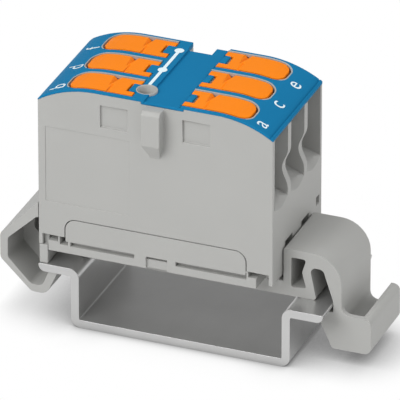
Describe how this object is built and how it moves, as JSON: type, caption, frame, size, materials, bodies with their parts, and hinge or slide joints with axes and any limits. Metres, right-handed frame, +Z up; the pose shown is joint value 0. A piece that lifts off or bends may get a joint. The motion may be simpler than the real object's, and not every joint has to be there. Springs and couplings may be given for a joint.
{
  "type": "power distribution block",
  "caption": "Rail-mounted power distribution block with spring clamps, orange release levers, a blue cover and wire funnels in both ends, clipped to a short length of hat rail.",
  "frame": {"origin": "centre of the hat rail's bottom face, half-way along the cut length of rail and half-way across it", "axes": "+X across the rail, from the hooked foot towards the latch foot with its release tab; +Y along the rail, from the tenon side to the groove side; +Z up, from the rail to the cover"},
  "size_m": [0.0446, 0.0173, 0.0311],
  "materials": {
    "zinc_steel": "satin zinc-plated",
    "grey_plastic": "fine matte",
    "blue_plastic": "fine matte",
    "orange_plastic": "fine matte",
    "copper": "tin-free copper, satin",
    "spring_steel": "satin"
  },
  "bodies": {
    "rail": {"din_rail": "zinc_steel"},
    "block": {"rail_adapter": "grey_plastic", "base_plate": "grey_plastic", "housing": "grey_plastic", "cover": "blue_plastic", "current_bar": "copper", "spring_a": "spring_steel", "spring_b": "spring_steel", "spring_c": "spring_steel", "spring_d": "spring_steel", "spring_e": "spring_steel", "spring_f": "spring_steel"},
    "lever_a": {"lever_a": "orange_plastic"},
    "lever_b": {"lever_b": "orange_plastic"},
    "lever_c": {"lever_c": "orange_plastic"},
    "lever_d": {"lever_d": "orange_plastic"},
    "lever_e": {"lever_e": "orange_plastic"},
    "lever_f": {"lever_f": "orange_plastic"}
  },
  "joints": [
    {"name": "block_slide", "type": "slide", "parent": "rail", "child": "block", "axis": [0, 1, 0], "range_m": [-0.004, 0.004]},
    {"name": "lever_a_hinge", "type": "hinge", "parent": "block", "child": "lever_a", "pos_m": [0.00055, -0.0052, 0.02955], "axis": [0, 1, 0], "range_deg": [0, 12], "stiffness_Nm_per_rad": 0.02, "deforming": ["spring_a"]},
    {"name": "lever_b_hinge", "type": "hinge", "parent": "block", "child": "lever_b", "pos_m": [-0.00675, -0.0052, 0.02955], "axis": [0, -1, 0], "range_deg": [0, 12], "stiffness_Nm_per_rad": 0.02, "deforming": ["spring_b"]},
    {"name": "lever_c_hinge", "type": "hinge", "parent": "block", "child": "lever_c", "pos_m": [0.00055, 0, 0.02955], "axis": [0, 1, 0], "range_deg": [0, 12], "stiffness_Nm_per_rad": 0.02, "deforming": ["spring_c"]},
    {"name": "lever_d_hinge", "type": "hinge", "parent": "block", "child": "lever_d", "pos_m": [-0.00675, 0, 0.02955], "axis": [0, -1, 0], "range_deg": [0, 12], "stiffness_Nm_per_rad": 0.02, "deforming": ["spring_d"]},
    {"name": "lever_e_hinge", "type": "hinge", "parent": "block", "child": "lever_e", "pos_m": [0.00055, 0.0052, 0.02955], "axis": [0, 1, 0], "range_deg": [0, 12], "stiffness_Nm_per_rad": 0.02, "deforming": ["spring_e"]},
    {"name": "lever_f_hinge", "type": "hinge", "parent": "block", "child": "lever_f", "pos_m": [-0.00675, 0.0052, 0.02955], "axis": [0, -1, 0], "range_deg": [0, 12], "stiffness_Nm_per_rad": 0.02, "deforming": ["spring_f"]}
  ]
}
